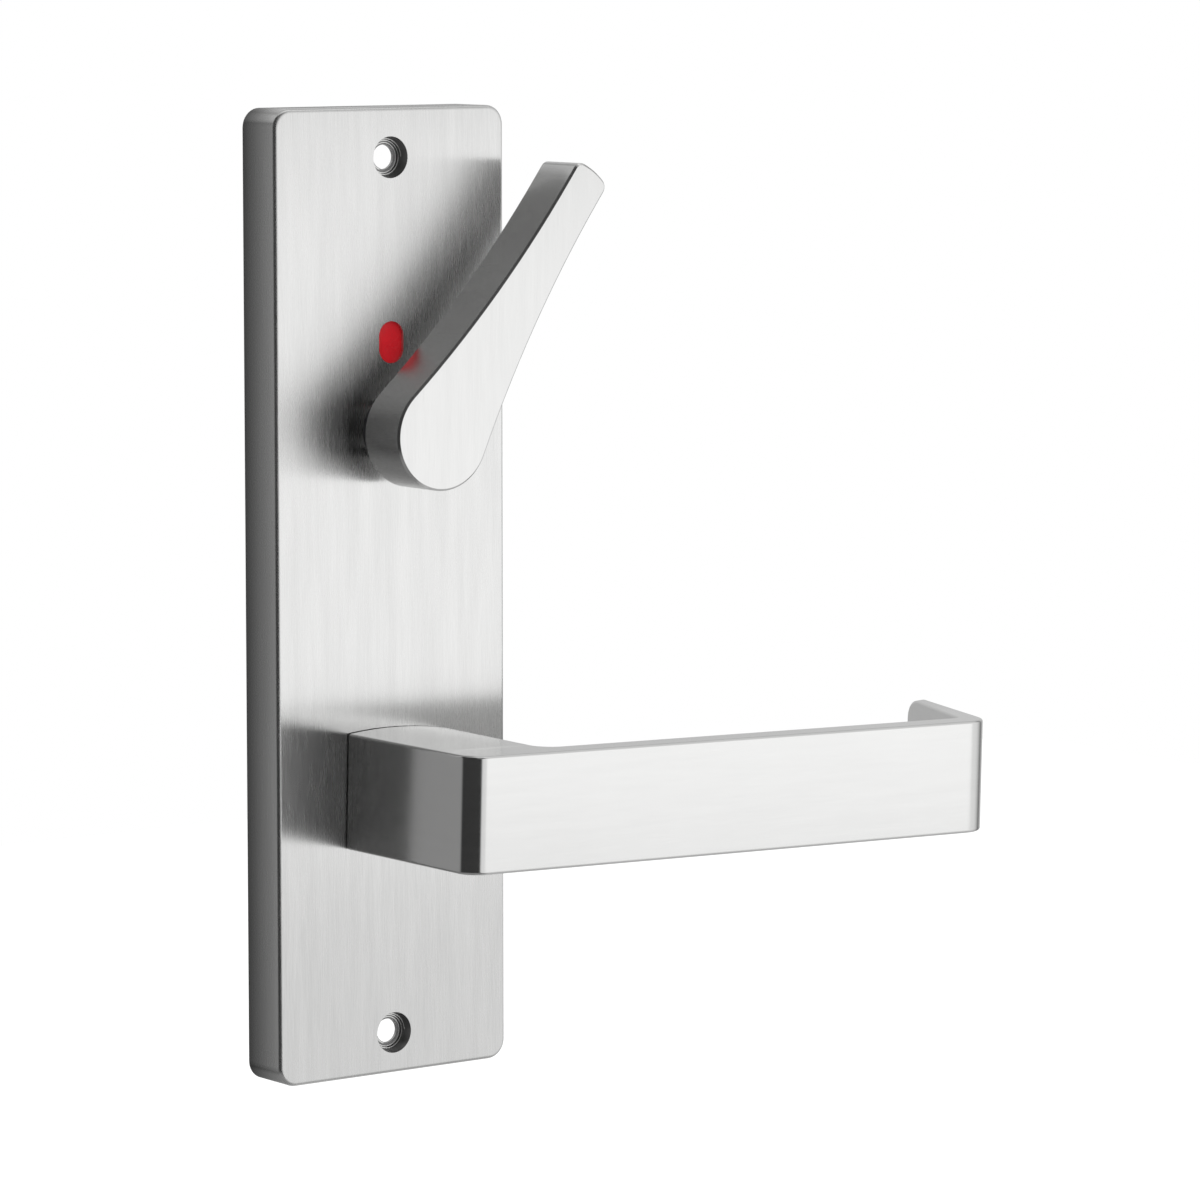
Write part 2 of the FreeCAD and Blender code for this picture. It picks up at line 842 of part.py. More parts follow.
def make_lever_fittings():
    droop = size("lever_droop")
    socket_end = plate_front + size("spindle_socket") - size("slide_gap")
    make_square_bar("lever_spindle", size("spindle_side"), socket_end, size("spindle_reach"), None,
                    droop)
    spindle_face = -size("spindle_side") / 2
    low = spindle_face - size("grub_length") - size("running_gap")
    make_grub_screw("lever_grub_screw", size("grub_thread"), size("grub_length"), low,
                    size("grub_stand"), None, droop)
    make_rotor()
    washer = new_body("thrust_washer")
    sketch = front_sketch(washer, washer_front - size("washer_thickness"))
    circle(sketch, 0, 0, size("shank_bore") + size("washer_width") * 2)
    circle(sketch, 0, 0, size("shank_bore") + size("running_gap") * 2)
    pad(washer, sketch, size("washer_thickness"))
    place(washer, turn=droop)
    make_circlip("lever_circlip", size("shank_bore"), clip_back, None, droop)


def make_circlip(label, shaft, stand, up, turn):
    """A spring clip: a ring open below, with two drilled lugs."""
    body = new_body(label)
    inner = shaft - size("clip_seat") * 2
    outer = shaft + size("clip_width")
    ring(body, outer, inner, stand, size("clip_thickness"))
    lugs = front_sketch(body, stand)
    lug = size("clip_lug")
    drop = outer / 2
    slit = size("clip_opening") / 2
    across = slit + (lug - size("slide_gap")) / 2
    circle(lugs, -across, -drop, lug)
    circle(lugs, across, -drop, lug)
    pad(body, lugs, size("clip_thickness"))
    through = size("clip_thickness") + size("slide_gap") * 2
    cut = front_sketch(body, stand - size("slide_gap"))
    rectangle(cut, -slit, -(drop + lug), slit, 0)
    pocket(body, cut, through, towards_front=True)
    holes = front_sketch(body, stand - size("slide_gap"))
    circle(holes, -across, -drop, size("clip_eye"))
    circle(holes, across, -drop, size("clip_eye"))
    pocket(body, holes, through, towards_front=True)
    place(body, up=up, turn=turn)


def rotor_arm(angle):
    """The arm's four corners, as it points left and down by the given angle."""
    half = size("rotor_arm_width") / 2
    reach = size("rotor_arm_reach")
    fall = sine(angle)
    run = cosine(angle)
    return [
        (-fall * half, run * half),
        (-(reach * run) - fall * half, -(reach * fall) + run * half),
        (-(reach * run) + fall * half, -(reach * fall) - run * half),
        (fall * half, -(run * half))]


def make_rotor():
    """The plate that the shank's flats turn, with one arm under the return spring."""
    body = new_body("return_rotor")
    disc = front_sketch(body, rotor_back)
    circle(disc, 0, 0, size("rotor_diameter"))
    pad(body, disc, size("rotor_thickness"))
    arm = front_sketch(body, rotor_back)
    outline(arm, rotor_arm(size("lever_turn") / 2 + size("lever_droop")))
    pad(body, arm, size("rotor_thickness"))
    bore = front_sketch(body, rotor_back - size("slide_gap"))
    flatted_circle(bore, size("shank_bore") + size("running_gap") * 2,
                   size("shank_flats") + size("running_gap") * 2)
    pocket(body, bore, size("rotor_thickness") + size("slide_gap") * 2, towards_front=True)
    place(body, turn=size("lever_droop"))


def tray_sketch(body, stand):
    sketch = front_sketch(body, stand)
    rectangle(sketch, -half_tray, -size("tray_foot"), half_tray, size("tray_head"))
    return sketch


def drill(body, places, stand, length):
    sketch = front_sketch(body, stand - size("slide_gap"))
    for across, up in places:
        circle(sketch, across, up, size("screw_thread") + size("face_gap"))
    pocket(body, sketch, length + size("slide_gap") * 2, towards_front=True)


def make_tray():
    """The moulded tray: room for the rotor and its arm, stops for the arm, a channel for the spring."""
    body = new_body("cassette_tray")
    pad(body, tray_sketch(body, tray_back), size("tray_depth"))
    fillet(body, lambda edge: runs_along(edge, "y"), size("tray_corner"))
    room = front_sketch(body, tray_back)
    circle(room, 0, 0, size("rotor_diameter") + size("slide_gap") * 4)
    pocket(body, room, cavity_depth, towards_front=True)
    swing = front_sketch(body, tray_back)
    corner_fall = size("rotor_arm_reach") * sine(size("lever_turn") / 2)
    corner_half = size("rotor_arm_width") / 2 * cosine(size("lever_turn") / 2)
    ledge = corner_fall + corner_half + size("face_gap") / 2
    side = size("rotor_arm_reach") + size("slide_gap") * 2
    rectangle(swing, -side, -ledge, 0, ledge)
    pocket(body, swing, cavity_depth, towards_front=True)
    channel = front_sketch(body, tray_back)
    half = size("spring_diameter") / 2 + size("slide_gap")
    middle = -spring_offset
    rectangle(channel, middle - half, 0, middle + half, size("spring_top") + size("face_gap") / 4)
    pocket(body, channel, cavity_depth, towards_front=True)
    opening = front_sketch(body, tray_back)
    circle(opening, 0, 0, flange_outer + size("slide_gap") * 2)
    pocket(body, opening, size("tray_depth") + size("slide_gap"), towards_front=True)
    drill(body, TRAY_SCREWS, tray_back, size("tray_depth"))
    place(body)


def make_tray_cover():
    body = new_body("cassette_cover")
    pad(body, tray_sketch(body, cover_back), size("tray_cover"))
    fillet(body, lambda edge: runs_along(edge, "y"), size("tray_corner"))
    opening = front_sketch(body, cover_back)
    circle(opening, 0, 0, size("shank_bore") + size("washer_width") * 2 + size("slide_gap") * 4)
    pocket(body, opening, size("tray_cover") + size("slide_gap"), towards_front=True)
    drill(body, TRAY_SCREWS, cover_back, size("tray_cover"))
    place(body)


def make_spring():
    """A compression spring from the rotor's arm up to the head of the tray's channel.

    Its round wire is drawn with a few flat sides, which keeps the coil light.
    """
    wire = size("spring_wire").value
    radius = (size("spring_diameter").value - wire) / 2
    angle = math.radians(size("lever_turn").value / 2)
    half_arm = size("rotor_arm_width").value / 2
    contact = spring_offset.value - size("spring_diameter").value / 2
    along = (contact - half_arm * math.sin(angle)) / math.cos(angle)
    seat = half_arm * math.cos(angle) - along * math.sin(angle) + size("running_gap").value
    height = size("spring_top").value - seat - wire
    pitch = height / size("spring_turns").value
    coil = Part.Wire(Part.makeHelix(pitch, height, radius).Edges)
    corners = []
    for side in range(WIRE_SIDES + 1):
        around = 2 * math.pi * side / WIRE_SIDES
        corners.append(FreeCAD.Vector(radius + wire / 2 * math.cos(around), 0, wire / 2 * math.sin(around)))
    profile = Part.makePolygon(corners)
    sweep = Part.BRepOffsetAPI.MakePipeShell(coil)
    sweep.setFrenetMode(True)
    sweep.add(profile)
    sweep.build()
    sweep.makeSolid()
    spring = doc.addObject("Part::Feature", "return_spring")
    spring.Label = "return_spring"
    spring.Shape = sweep.shape()
    middle = tray_back.value + cavity_depth.value / 2
    spring.Placement = FreeCAD.Placement(
        FreeCAD.Vector(-spring_offset.value, -middle, seat + wire / 2), FreeCAD.Rotation())
    PARTS.append(spring)
    print("spring: gap between turns", round(pitch - wire, 2), "seat height", round(seat, 2))


def make_screws(label, places, head_stand, length):
    """Pan-head screws with a hexagon socket, one solid at each place."""
    body = doc.addObject("PartDesign::Body", f"{label}_pattern")
    sketch = front_sketch(body, head_stand)
    circle(sketch, 0, 0, size("screw_head"))
    pad(body, sketch, size("screw_head_height"))
    shaft = front_sketch(body, head_stand + size("screw_head_height"))
    circle(shaft, 0, 0, size("screw_thread"))
    pad(body, shaft, length)
    socket = front_sketch(body, head_stand)
    hexagon(socket, 0, 0, size("screw_socket"))
    pocket(body, socket, size("screw_socket_depth"), towards_front=True)
    back = -head_stand.value
    rim = size("screw_head").value / 2

    def head_rim(edge):
        return lies_at(edge, "y", back) and abs(edge.BoundBox.XMax - rim) < 1e-4

    chamfer(body, head_rim, size("screw_head_bevel"))
    doc.recompute()
    copies = []
    for across, up in places:
        copy = body.Shape.copy()
        copy.translate(FreeCAD.Vector(across.value, 0, up.value))
        copies.append(copy)
    group = doc.addObject("Part::Feature", label)
    group.Label = label
    group.Shape = Part.makeCompound(copies)
    PARTS.append(group)


def snib_outline(sketch):
    """A teardrop: a round bulb, two long hollow flanks tangent to it and a blunt crowned tip."""
    bulb = size("snib_bulb") / 2
    half = size("snib_tip_width") / 2
    flank_end = size("snib_reach") - size("snib_tip_length")
    crown = size("snib_tip_crown")
    shoulder = size("snib_reach") - crown
    flank = (flank_end * flank_end + half * half - bulb * bulb) / ((bulb - half) * 2)
    share = bulb / (bulb + flank)
    across = (half + flank) * share
    along = flank_end * share
    tip = (half * half + crown * crown) / (crown * 2)
    outline(sketch, [
        (across, along, -flank), (half, flank_end), (half, shoulder, tip), (-half, shoulder),
        (-half, flank_end, -flank), (-across, along, bulb), (0, -bulb, bulb)])


def make_snib_handle():
    body = new_body("snib_handle")
    sketch = front_sketch(body, snib_back)
    snib_outline(sketch)
    pad(body, sketch, size("snib_thickness"))
    half = SIZES["snib_tip_width"] / 2
    shoulder = SIZES["snib_reach"] - SIZES["snib_tip_crown"]

    def tip_corner(edge):
        if not runs_along(edge, "y"):
            return False
        point = ends_of(edge)[0]
        return abs(abs(point.x) - half) < 1e-3 and abs(point.z - shoulder) < 1e-3

    fillet(body, tip_corner, size("snib_tip_corner"))
    front = -(snib_back + size("snib_thickness")).value
    chamfer(body, lambda edge: lies_at(edge, "y", front), size("snib_edge"))
    back = -snib_back.value
    fillet(body, lambda edge: lies_at(edge, "y", back), size("snib_back_round"))
    stem = front_sketch(body, size("stem_end"))
    circle(stem, 0, 0, size("stem_diameter"))
    pad(body, stem, snib_back - size("stem_end") + size("snib_edge") * 2)
    cut_stem(body)
    place(body, up=snib_axis, turn=snib_lean)


def cut_stem(body):
    """The stem's flats, clip groove, tail socket and screw hole."""
    reach = size("stem_diameter")
    half = size("stem_flats") / 2
    start = size("stem_end") - size("slide_gap")
    flats = front_sketch(body, start)
    rectangle(flats, half, -reach, reach, reach)
    rectangle(flats, -reach, -reach, -half, reach)
    pocket(body, flats, hub_front - start, towards_front=True)
    groove = front_sketch(body, snib_clip_back)
    circle(groove, 0, 0, size("stem_diameter") + size("clip_width"))
    circle(groove, 0, 0, size("stem_diameter") - size("clip_seat") * 2)
    pocket(body, groove, size("clip_thickness"), towards_front=True)
    socket = front_sketch(body, start)
    side = size("tail_side") / 2 + size("running_gap")
    rectangle(socket, -side, -side, side, side)
    pocket(body, socket, plate_front + size("tail_socket") - start, towards_front=True)
    screw = plan_sketch(body, -size("stem_diameter") / 2 - size("slide_gap"))
    circle(screw, 0, -snib_grub_stand, size("snib_grub_thread") + size("running_gap") * 2)
    pocket(body, screw, size("stem_diameter") / 2 - side + size("slide_gap") * 2, towards_front=True)


def sector(sketch, inner, outer, start, end):
    """A piece of a flat ring between two angles measured from the arm."""
    outline(sketch, [
        (outer * sine(start), outer * cosine(start), -outer),
        (outer * sine(end), outer * cosine(end)),
        (inner * sine(end), inner * cosine(end), inner),
        (inner * sine(start), inner * cosine(start))])


def make_indicator():
    """The disc behind the window, dished forward under two coloured flags."""
    body = new_body("indicator_disc")
    hub = front_sketch(body, hub_back)
    circle(hub, 0, 0, size("disc_hub"))
    pad(body, hub, size("disc_thickness"))
    fan = front_sketch(body, hub_back)
    fan_root = size("stem_diameter") / 2 + size("snib_bush_wall")
    sector(fan, fan_root, size("flag_outer"), -flag_span, flag_span)
    pad(body, fan, size("disc_thickness"))
    rim = front_sketch(body, hub_back)
    sector(rim, size("flag_inner"), size("flag_outer"), -flag_span, flag_span)
    pad(body, rim, flag_back - hub_back)
    bore = front_sketch(body, hub_back - size("slide_gap"))
    flatted_circle(bore, size("stem_diameter") + size("running_gap") * 2,
                   size("stem_flats") + size("running_gap") * 2)
    pocket(body, bore, size("disc_thickness") + size("slide_gap") * 2, towards_front=True)
    place(body, up=snib_axis, turn=snib_lean)
    for label, start, end in (
            ("red_flag", -flag_span, -size("flag_seam")),
            ("green_flag", size("flag_seam"), flag_span)):
        flag = new_body(label)
        sketch = front_sketch(flag, flag_back)
        margin = size("slide_gap")
        sector(sketch, size("flag_inner") + margin, size("flag_outer") - margin, start, end)
        pad(flag, sketch, size("flag_thickness"))
        place(flag, up=snib_axis, turn=snib_lean)


def make_spring_washer():
    """A dished washer that presses the disc forward and gives the snib its friction."""
    body = new_body("spring_washer")
    sketch = side_sketch(body, 0)
    thickness = size("spring_washer_height") / 2
    inner = size("stem_diameter") / 2 + size("running_gap")
    outer = inner + size("washer_width")
    front = -(hub_back - size("running_gap"))
    dish = size("spring_washer_height") - thickness
    outline(sketch, [
        (front + dish, inner), (front + dish + thickness, inner),
        (front + thickness, outer), (front, outer)])
    item = body.newObject("PartDesign::Revolution", "dished_ring")
    item.Profile = sketch
    item.ReferenceAxis = (sketch, ["H_Axis"])
    item.Angle = 360
    body.Tip = item
    place(body, up=snib_axis, turn=snib_lean)


def make_guard():
    body = new_body("indicator_guard")
    sketch = front_sketch(body, size("guard_stand"))
    half = size("guard_width") / 2
    rectangle(sketch, -half, snib_axis - size("guard_foot"), half, snib_axis + size("guard_head"))
    pad(body, sketch, size("guard_thickness"))
    fillet(body, lambda edge: runs_along(edge, "y"), size("guard_corner"))
    opening = front_sketch(body, size("guard_stand"))
    circle(opening, 0, snib_axis, size("tail_side") * 2)
    pocket(body, opening, size("guard_thickness") + size("slide_gap"), towards_front=True)
    drill(body, GUARD_SCREWS, size("guard_stand"), size("guard_thickness"))
    place(body)


def make_snib_fittings():
    socket_end = plate_front + size("tail_socket") - size("slide_gap")
    make_square_bar("snib_spindle", size("tail_side"), socket_end, size("tail_reach"), snib_axis,
                    snib_lean)
    low = -size("tail_side") / 2 - size("snib_grub_length") - size("running_gap")
    make_grub_screw("snib_grub_screw", size("snib_grub_thread"), size("snib_grub_length"), low,
                    snib_grub_stand, snib_axis, snib_lean)
    make_indicator()
    make_spring_washer()
    make_circlip("snib_circlip", size("stem_diameter"), snib_clip_back, snib_axis, snib_lean)


def build_all():
    make_cover_plate()
    make_bushes()
    make_tray()
    make_tray_cover()
    make_spring()
    make_screws("cassette_screws", TRAY_SCREWS, cover_back - size("screw_head_height"),
                size("screw_length"))
    make_guard()
    make_screws("guard_screws", GUARD_SCREWS, size("guard_stand") - size("screw_head_height"),
                size("guard_screw_length"))
    make_lever_handle()
    make_lever_fittings()
    make_snib_handle()
    make_snib_fittings()


def check_all():
    """Stops before anything is written if a feature failed or a solid is unsound."""
    doc.recompute()
    for item in doc.Objects:
        if "Invalid" in item.State or "Error" in item.State:
            raise RuntimeError(f"{item.Label} did not compute: {item.State}")
    for piece in PARTS:
        shape = piece.Shape
        if shape.isNull() or not shape.isValid() or not shape.Solids:
            raise RuntimeError(f"{piece.Label} is not a sound solid")
        print(piece.Label, "solids", len(shape.Solids), "volume", round(shape.Volume, 1))


def write_all():
    os.makedirs("parts", exist_ok=True)
    for piece in PARTS:
        piece.Shape.exportStep(f"parts/{piece.Label}.step")


build_all()
check_all()
write_all()
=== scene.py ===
import json
import math

import bmesh
import bpy
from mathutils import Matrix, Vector


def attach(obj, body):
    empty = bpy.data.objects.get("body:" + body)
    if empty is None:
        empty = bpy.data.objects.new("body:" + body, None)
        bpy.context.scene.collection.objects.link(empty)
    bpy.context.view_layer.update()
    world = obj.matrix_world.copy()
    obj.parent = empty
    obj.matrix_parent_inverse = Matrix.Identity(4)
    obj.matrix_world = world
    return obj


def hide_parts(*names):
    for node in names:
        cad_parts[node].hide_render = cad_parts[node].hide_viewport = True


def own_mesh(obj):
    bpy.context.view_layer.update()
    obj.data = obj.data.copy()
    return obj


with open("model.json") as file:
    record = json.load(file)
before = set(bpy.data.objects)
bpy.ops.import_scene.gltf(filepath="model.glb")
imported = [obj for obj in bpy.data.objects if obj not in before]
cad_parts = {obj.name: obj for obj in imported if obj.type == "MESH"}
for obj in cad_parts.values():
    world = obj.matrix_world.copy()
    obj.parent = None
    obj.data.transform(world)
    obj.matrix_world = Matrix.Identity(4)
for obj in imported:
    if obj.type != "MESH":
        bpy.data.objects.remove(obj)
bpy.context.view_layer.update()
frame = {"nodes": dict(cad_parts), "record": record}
nodes = frame["nodes"]
MM = 0.001
PLATE_FRONT = -13.0 * MM


# Shader helpers
def add(tree, kind, inputs=None, **fields):
    """Adds a shader node, sets its fields, and links or fills its sockets."""
    made = tree.nodes.new(kind)
    for field, value in fields.items():
        setattr(made, field, value)
    for socket, value in (inputs or {}).items():
        if isinstance(value, bpy.types.NodeSocket):
            tree.links.new(value, made.inputs[socket])
        else:
            made.inputs[socket].default_value = value
    return made


def new_tree(name):
    material = bpy.data.materials.new(name)
    material.use_nodes = True
    material.node_tree.nodes.clear()
    return material, material.node_tree


def grain(tree, scale, stretch, detail=3.0):
    """Noise in the piece's own space, stretched by a different amount along each axis."""
    place = add(tree, "ShaderNodeTexCoord").outputs["Object"]
    mapped = add(tree, "ShaderNodeMapping", {"Vector": place, "Scale": stretch})
    noise = add(tree, "ShaderNodeTexNoise", {
        "Vector": mapped.outputs["Vector"], "Scale": scale, "Detail": detail})
    return noise.outputs["Fac"]


def remap(tree, value, low, high, start=0.3, end=0.7):
    made = add(tree, "ShaderNodeMapRange", {
        "Value": value, "From Min": start, "From Max": end, "To Min": low, "To Max": high})
    return made.outputs["Result"]


def combine(tree, operation, first, second):
    return add(tree, "ShaderNodeMath", {0: first, 1: second}, operation=operation).outputs["Value"]


def tinted(tree, colour, level):
    """A colour made lighter or darker by a level about 1."""
    scaled = add(tree, "ShaderNodeVectorMath", {0: colour, "Scale": level}, operation="SCALE")
    return scaled.outputs["Vector"]


def surface(tree, colour, roughness, bump, bump_height, **fixed):
    relief = add(tree, "ShaderNodeBump", {"Height": bump, "Strength": 1.0, "Distance": bump_height})
    shader = add(tree, "ShaderNodeBsdfPrincipled", {
        "Base Color": colour, "Roughness": roughness, "Normal": relief.outputs["Normal"]})
    for socket, value in fixed.items():
        shader.inputs[socket.replace("_", " ")].default_value = value
    add(tree, "ShaderNodeOutputMaterial", {"Surface": shader.outputs["BSDF"]})
    return shader


def brushed_steel(name, colour, along, turned, roughness, smear, contrast=1.0, door_shade_tone=1.0,
                  back_shade_tone=1.0):
    """Satin steel with fine lines along some axes.

    Smear is how much further its gloss spreads across the lines, level or, if turned, upright.
    Door shade tone is the steel's level at the door face, a painted shade that darkens it towards the
    door, and back shade tone its level on faces turned to the door, a painted shade in the gap between
    the part and the plate.
    """
    material, tree = new_tree(name)
    fine = [0.03 if axis in along else 1.0 for axis in "XYZ"]
    broad = [0.08 if axis in along else 1.0 for axis in "XYZ"]
    lines = grain(tree, 5200.0, fine)
    bands = grain(tree, 420.0, broad)
    cloud = grain(tree, 45.0, (1.0, 1.0, 1.0), 5.0)
    level = combine(tree, "MULTIPLY", remap(tree, lines, 1 - 0.06 * contrast, 1 + 0.05 * contrast),
                    remap(tree, bands, 1 - 0.03 * contrast, 1 + 0.03 * contrast))
    level = combine(tree, "MULTIPLY", level, remap(tree, cloud, 0.985, 1.015))
    place = add(tree, "ShaderNodeTexCoord")
    depth = add(tree, "ShaderNodeSeparateXYZ", {"Vector": place.outputs["Object"]}).outputs["Y"]
    facing = add(tree, "ShaderNodeSeparateXYZ", {"Vector": place.outputs["Normal"]}).outputs["Y"]
    # Painted shade: the steel darkens towards the door face, down to the door shade tone.
    level = combine(tree, "MULTIPLY", level, remap(tree, depth, 1.0, door_shade_tone, PLATE_FRONT, 0.0))
    # Painted shade: faces turned to the door are darkened to the back shade tone.
    level = combine(tree, "MULTIPLY", level, remap(tree, facing, 1.0, back_shade_tone, 0.6, 0.9))
    gloss = combine(tree, "ADD", remap(tree, lines, roughness - 0.02, roughness + 0.02),
                    remap(tree, cloud, -0.01, 0.01))
    shader = surface(tree, tinted(tree, colour, level), gloss, lines, 0.0025 * MM * contrast,
                     Metallic=1.0, Anisotropic=smear)
    shader.inputs["Anisotropic Rotation"].default_value = 0.25 if turned else 0.0
    tangent = add(tree, "ShaderNodeTangent", direction_type="RADIAL", axis="Z")
    tree.links.new(tangent.outputs["Tangent"], shader.inputs["Tangent"])
    return material


def plated_steel(name, colour, roughness):
    """Zinc plate: a faint crystal grain with clouded gloss."""
    material, tree = new_tree(name)
    grains = grain(tree, 900.0, (1.0, 1.0, 1.0), 4.0)
    cloud = grain(tree, 120.0, (1.0, 1.0, 1.0), 4.0)
    level = combine(tree, "MULTIPLY", remap(tree, grains, 0.94, 1.06), remap(tree, cloud, 0.93, 1.07))
    gloss = remap(tree, cloud, roughness - 0.08, roughness + 0.1)
    surface(tree, tinted(tree, colour, level), gloss, grains, 0.01 * MM, Metallic=1.0)
    return material


def moulded(name, colour, roughness, grit=0.01, coat=0.0):
    """Moulded plastic: fine grit in its relief and a clouded gloss."""
    material, tree = new_tree(name)
    grit_noise = grain(tree, 2600.0, (1.0, 1.0, 1.0), 2.0)
    cloud = grain(tree, 160.0, (1.0, 1.0, 1.0), 3.0)
    level = combine(tree, "MULTIPLY", remap(tree, grit_noise, 0.95, 1.05), remap(tree, cloud, 0.93, 1.07))
    gloss = remap(tree, cloud, roughness - 0.05, roughness + 0.07)
    surface(tree, tinted(tree, colour, level), gloss, grit_noise, grit * MM, Coat_Weight=coat,
            Coat_Roughness=0.08)
    return material


STEEL = (0.72, 0.72, 0.715)
SNIB_STEEL = (0.67, 0.67, 0.665)
LOOKS = {
    # Painted shade: the plate steel darkens to 0.2 towards the door face.
    "plate_steel": brushed_steel("plate_steel", STEEL, "Z", False, 0.26, 0.93, 1.0, 0.2),
    "lever_steel": brushed_steel("lever_steel", STEEL, "XY", True, 0.19, 0.5, 0.35),
    # Painted shade: the snib steel darkens to 0.35 on faces turned to the door.
    "snib_steel": brushed_steel("snib_steel", SNIB_STEEL, "Z", False, 0.22, 0.3, 0.5, 1.0, 0.35),
    "plated_steel": plated_steel("plated_steel", (0.62, 0.62, 0.60), 0.34),
    "bar_steel": brushed_steel("bar_steel", (0.56, 0.56, 0.56), "Y", True, 0.36, 0.5),
    "screw_steel": plated_steel("screw_steel", (0.66, 0.66, 0.64), 0.28),
    "black_screw": plated_steel("black_screw", (0.07, 0.07, 0.075), 0.38),
    "spring_steel": plated_steel("spring_steel", (0.36, 0.36, 0.37), 0.30),
    "nylon": moulded("nylon", (0.035, 0.035, 0.038), 0.48),
    "disc_white": moulded("disc_white", (0.80, 0.80, 0.78), 0.42),
    "red_flag": moulded("red_flag", (1.0, 0.024, 0.038), 0.30, 0.004, 0.5),
    "green_flag": moulded("green_flag", (0.02, 0.26, 0.05), 0.30, 0.004, 0.5),
}


def dress_nodes():
    for subpart in frame["record"]["subparts"]:
        slots = nodes[subpart["node"]].data.materials
        slots.clear()
        slots.append(LOOKS[subpart["material_slot"]])


dress_nodes()


def make_spring():
    """The return spring's wire as a piece of its own on the backplate, in one shape; in the lock the
    rotor's arm shortens it against its seat in the cassette.
    """
    piece = bpy.data.objects.new("return_spring_wire", nodes["return_spring"].data.copy())
    bpy.context.scene.collection.objects.link(piece)
    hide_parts("return_spring")
    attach(piece, "backplate")
    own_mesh(piece)


make_spring()


# Threads in the two fixing holes
HOLES = {"fixing_thread_upper": 146.3 * MM, "fixing_thread_lower": -57.7 * MM}
THREAD_LOOKS = (
    # Painted shade: a sheet of steel darkened to 0.27 laid over the hole's wall and seat.
    plated_steel("hole_wall_painted_shade", (0.27, 0.27, 0.27), 0.42),
    # Painted glint: the thread's land in steel lightened to 0.84.
    plated_steel("thread_land_painted_glint", (0.84, 0.84, 0.83), 0.34),
)
PAINTED_SHADE, PAINTED_GLINT = 0, 1

# Radius and depth of the line that a fixing hole's wall follows
MOUTH = (4.73 * MM, 0.10 * MM)
WAIST = (4.39 * MM, 2.10 * MM)
SEAT = (3.74 * MM, 3.04 * MM)
BORE = (2.86 * MM, 3.04 * MM)

LAND_WIDTH = 0.20 * MM
LAND_RISE = 0.06 * MM
RISER_LENGTH = 0.36 * MM
PITCH = 0.66 * MM
TURNS = 2.7
STEPS = 72


def wall_point(distance):
    """Radius and depth at a distance along the wall from its waist, then across its seat."""
    run = math.dist(WAIST, SEAT)
    if distance < run:
        share = distance / run
        return tuple(near + (far - near) * share for near, far in zip(WAIST, SEAT))
    return SEAT[0] - (distance - run), SEAT[1]


def add_strip(mesh, height, look, profile, step_count):
    """A skin through a radius and depth profile, which may change from step to step round the hole."""
    rows = []
    for step in range(step_count):
        angle = 2 * math.pi * step / STEPS
        rows.append([mesh.verts.new((
            radius * math.cos(angle), PLATE_FRONT + depth, height + radius * math.sin(angle)))
            for radius, depth in profile(step)])
    if step_count == STEPS:
        rows.append(rows[0])
    for first, second in zip(rows, rows[1:]):
        for side in range(len(first) - 1):
            face = mesh.faces.new((first[side], first[side + 1], second[side + 1], second[side]))
            face.material_index = look
            face.smooth = look == PAINTED_SHADE


def land_edges(step):
    radius, depth = wall_point(PITCH * step / STEPS)
    return (radius, depth - LAND_RISE), (radius - LAND_WIDTH, depth - LAND_RISE)


def riser_edges(step):
    return land_edges(step)[1], wall_point(PITCH * step / STEPS + RISER_LENGTH)


def make_thread(name, height):
    """The wall of a fixing hole, lined with a painted shade, and the land of the thread that winds down
    it, lightened with a painted glint.
    """
    mesh = bmesh.new()
    helix = int(TURNS * STEPS) + 1
    add_strip(mesh, height, PAINTED_SHADE, lambda step: (MOUTH, WAIST, SEAT), STEPS)
    add_strip(mesh, height, PAINTED_SHADE, lambda step: (SEAT, BORE), STEPS)
    add_strip(mesh, height, PAINTED_GLINT, land_edges, helix)
    add_strip(mesh, height, PAINTED_SHADE, riser_edges, helix)
    bmesh.ops.recalc_face_normals(mesh, faces=mesh.faces)
    data = bpy.data.meshes.new(name)
    mesh.to_mesh(data)
    mesh.free()
    for look in THREAD_LOOKS:
        data.materials.append(look)
    piece = bpy.data.objects.new(name, data)
    bpy.context.scene.collection.objects.link(piece)
    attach(piece, "backplate")


for label, centre in HOLES.items():
    make_thread(label, centre)


# Studio
def make_floor():
    """Pale paper under the part, left clear to gloss, which mirrors the screens instead."""
    data = bpy.data.meshes.new("floor")
    half, height = 1.6, -0.30
    corners = [(-half, -half, height), (half, -half, height), (half, half, height), (-half, half, height)]
    data.from_pydata(corners, [], [(0, 1, 2, 3)])
    floor = bpy.data.objects.new("floor", data)
    bpy.context.scene.collection.objects.link(floor)
    material, tree = new_tree("floor_paper")
    tone = tinted(tree, (0.90, 0.90, 0.90), remap(tree, grain(tree, 300.0, (1.0, 1.0, 1.0)), 0.99, 1.01))
    paper = add(tree, "ShaderNodeBsdfDiffuse", {"Color": tone})
    path = add(tree, "ShaderNodeLightPath")
    lift = combine(tree, "MULTIPLY", path.outputs["Is Camera Ray"], 0.35)
    glow = add(tree, "ShaderNodeEmission", {"Color": (1.0, 1.0, 1.0, 1.0), "Strength": lift})
    both = add(tree, "ShaderNodeAddShader", {0: paper.outputs["BSDF"], 1: glow.outputs["Emission"]})
    clear = add(tree, "ShaderNodeBsdfTransparent")
    seen = add(tree, "ShaderNodeMixShader", {
        "Fac": path.outputs["Is Glossy Ray"], 1: both.outputs["Shader"], 2: clear.outputs["BSDF"]})
    add(tree, "ShaderNodeOutputMaterial", {"Surface": seen.outputs["Shader"]})
    data.materials.append(material)


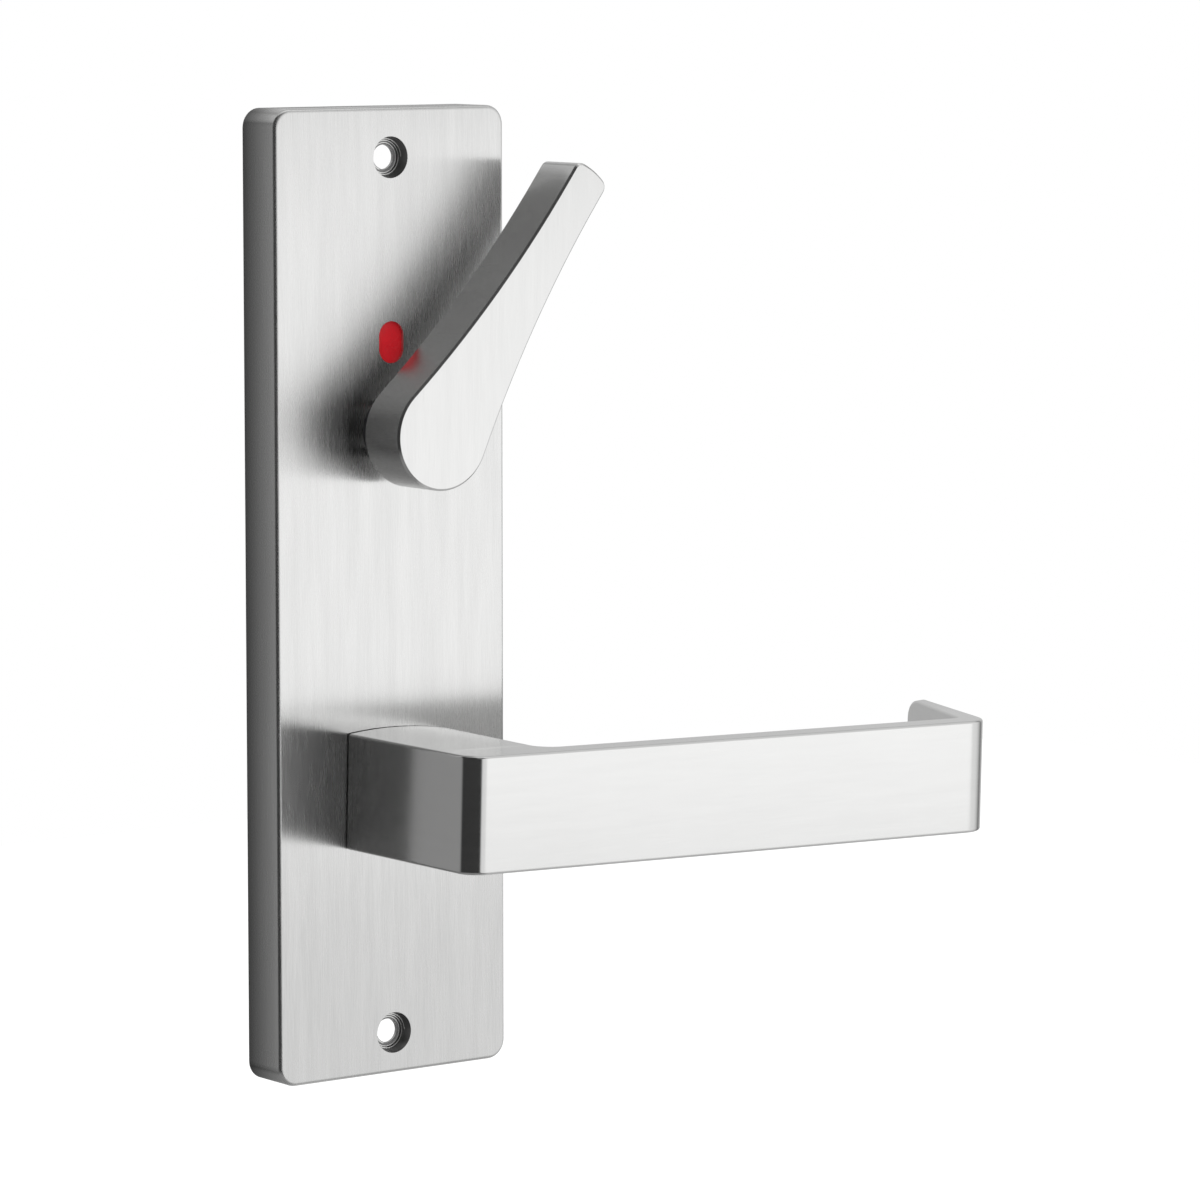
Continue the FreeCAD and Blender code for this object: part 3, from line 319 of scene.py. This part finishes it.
def lobe(tree, direction, towards, inner, outer):
    """1 within an angle of a direction, falling smoothly to 0 at a wider one, in degrees."""
    heading = Vector(towards).normalized()
    facing = add(tree, "ShaderNodeVectorMath", {0: direction, 1: heading}, operation="DOT_PRODUCT")
    return add(tree, "ShaderNodeMapRange", {
        "Value": facing.outputs["Value"], "From Min": math.cos(math.radians(outer)),
        "From Max": math.cos(math.radians(inner)), "To Min": 0.0, "To Max": 1.0},
        interpolation_type="SMOOTHSTEP").outputs["Result"]


ROOM_LEVEL = 0.035
MATT_LEVEL = 0.85
SCREENS = (
    ((0.26, -0.97, 0.0), 19, 28, 0.93),
    ((0.74, -0.67, 0.0), 14, 62, 0.93),
    ((0.62, 0.78, 0.15), 24, 52, 0.62),
    ((0.1, 1.0, 0.0), 14, 36, 0.51),
    ((-0.65, 0.76, 0.0), 14, 34, 0.31),
    ((-0.28, 0.79, 0.54), 12, 24, 0.62),
    ((-0.20, -0.80, 0.57), 12, 24, 0.26),
    ((0.1, 0.3, 1.0), 20, 42, 0.56),
    ((0.60, -0.15, 0.78), 18, 38, 0.75),
    ((0.60, 0.10, -0.78), 18, 38, 0.60),
    ((0.0, 0.0, -1.0), 52, 74, 0.28),
)


def make_world():
    """White to the camera, plain to matt surfaces, and a dark room with pale screens to gloss.

    Each screen has the direction it stands in, the angles within which it is full and beyond
    which it is gone, and its brightness.
    """
    world = bpy.data.worlds.new("studio")
    bpy.context.scene.world = world
    world.use_nodes = True
    tree = world.node_tree
    tree.nodes.clear()
    direction = add(tree, "ShaderNodeTexCoord").outputs["Generated"]
    room = ROOM_LEVEL
    for towards, inner, outer, level in SCREENS:
        screen = combine(tree, "MULTIPLY", lobe(tree, direction, towards, inner, outer), level)
        room = combine(tree, "MAXIMUM", room, screen)
    path = add(tree, "ShaderNodeLightPath")
    seen = combine(tree, "MAXIMUM", path.outputs["Is Camera Ray"], path.outputs["Is Transmission Ray"])
    strength = add(tree, "ShaderNodeMix", {
        "Factor": path.outputs["Is Glossy Ray"], "A": MATT_LEVEL, "B": room}, data_type="FLOAT")
    strength = add(tree, "ShaderNodeMix", {
        "Factor": seen, "A": strength.outputs["Result"], "B": 1.0}, data_type="FLOAT")
    back = add(tree, "ShaderNodeBackground", {
        "Color": (1.0, 1.0, 1.0, 1.0), "Strength": strength.outputs["Result"]})
    add(tree, "ShaderNodeOutputWorld", {"Surface": back.outputs["Background"]})


def make_lamp(name, place, target, width, height, power):
    light = bpy.data.lights.new(name, "AREA")
    light.shape = "RECTANGLE"
    light.size = width
    light.size_y = height
    light.energy = power
    lamp = bpy.data.objects.new(name, light)
    bpy.context.scene.collection.objects.link(lamp)
    lamp.location = place
    lamp.rotation_euler = (Vector(target) - lamp.location).to_track_quat("-Z", "Y").to_euler()


def make_camera():
    lens = bpy.data.cameras.new("camera")
    lens.sensor_width = 36.0
    lens.lens = 171.574
    camera = bpy.data.objects.new("camera", lens)
    camera.location = (-0.75225, -1.09385, 0.19496)
    camera.rotation_euler = (math.radians(90 - 6.544), 0.0, math.radians(-36.930))
    bpy.context.scene.collection.objects.link(camera)
    bpy.context.scene.camera = camera


make_floor()
make_world()
make_lamp("key", (0.60, -0.83, -0.02), (0.0, 0.0, -0.02), 0.70, 0.30, 0.26)
make_lamp("top", (0.1, -0.2, 0.9), (0.0, 0.0, 0.05), 0.6, 0.6, 0.4)
make_camera()
bpy.context.scene.view_settings.view_transform = "Standard"
